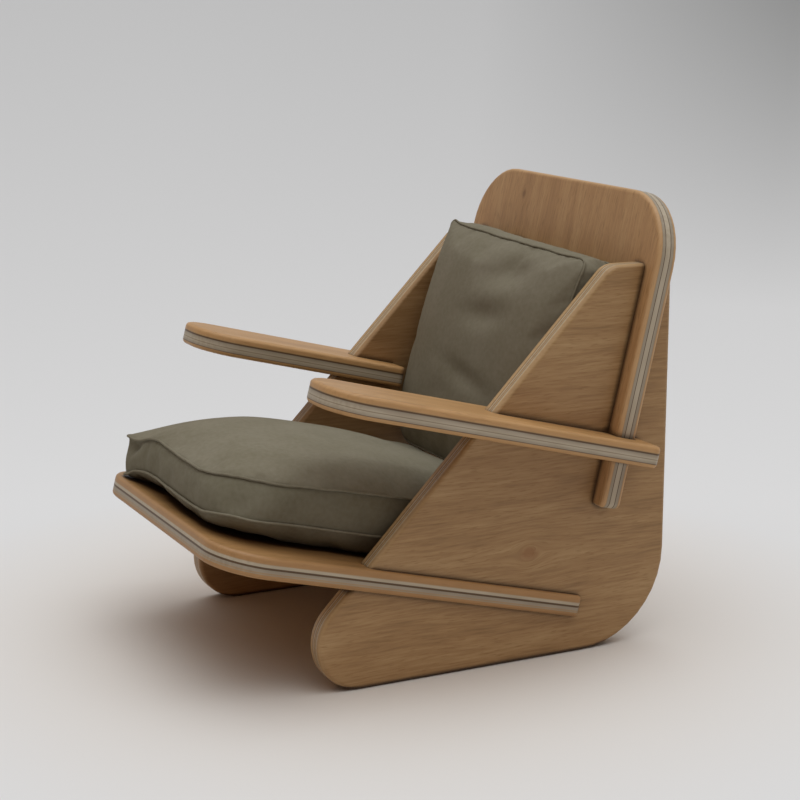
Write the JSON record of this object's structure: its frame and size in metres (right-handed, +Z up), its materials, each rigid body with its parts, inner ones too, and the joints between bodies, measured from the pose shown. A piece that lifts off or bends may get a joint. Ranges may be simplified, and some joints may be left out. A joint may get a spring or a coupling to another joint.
{
  "type": "lounge armchair",
  "caption": "Low lounge armchair of thick slotted plywood panels, with a raked seat and arms, wing-like sides, a leaning back and loose piped seat and back cushions.",
  "frame": {"origin": "on the floor under the middle of the chair's width and depth", "axes": "+Z up, the chair faces -Y, +X is the sitter's left"},
  "size_m": [0.769, 0.8904, 0.827],
  "materials": {
    "plywood": "oiled light brown face veneer with rounded edges that show pale and dark plies",
    "foam": "cream foam block, hidden in its cover",
    "cover_cloth": "matt olive grey woven cloth",
    "piping_cloth": "the cover's own cloth over a cord",
    "zip_tape": "dark woven zip tape",
    "nickel": "dull nickel plate"
  },
  "bodies": {
    "frame": {"side_panel_left": "plywood", "side_panel_right": "plywood", "seat_panel": "plywood", "back_panel": "plywood", "armrest_left": "plywood", "armrest_right": "plywood"},
    "seat_cushion": {"seat_cushion_core": "foam", "seat_cushion_top_cover": "cover_cloth", "seat_cushion_bottom_cover": "cover_cloth", "seat_cushion_boxing": "cover_cloth", "seat_cushion_top_piping": "piping_cloth", "seat_cushion_bottom_piping": "piping_cloth", "seat_cushion_zip": "zip_tape"},
    "back_cushion": {"back_cushion_core": "foam", "back_cushion_front_cover": "cover_cloth", "back_cushion_rear_cover": "cover_cloth", "back_cushion_boxing": "cover_cloth", "back_cushion_front_piping": "piping_cloth", "back_cushion_rear_piping": "piping_cloth", "back_cushion_zip": "zip_tape"},
    "seat_zip_slider": {"seat_cushion_zip_slider": "nickel"},
    "back_zip_slider": {"back_cushion_zip_slider": "nickel"}
  },
  "joints": [
    {"name": "seat_cushion_out", "type": "slide", "parent": "frame", "child": "seat_cushion", "axis": [0, -0.9681, 0.2504], "range_m": [0, 0.7]},
    {"name": "back_cushion_out", "type": "slide", "parent": "frame", "child": "back_cushion", "axis": [0, 0.2317, 0.9728], "range_m": [0, 0.45]},
    {"name": "seat_zip", "type": "slide", "parent": "seat_cushion", "child": "seat_zip_slider", "axis": [1, 0, 0], "range_m": [0, 0.39]},
    {"name": "back_zip", "type": "slide", "parent": "back_cushion", "child": "back_zip_slider", "axis": [-1, 0, 0], "range_m": [0, 0.39]}
  ]
}
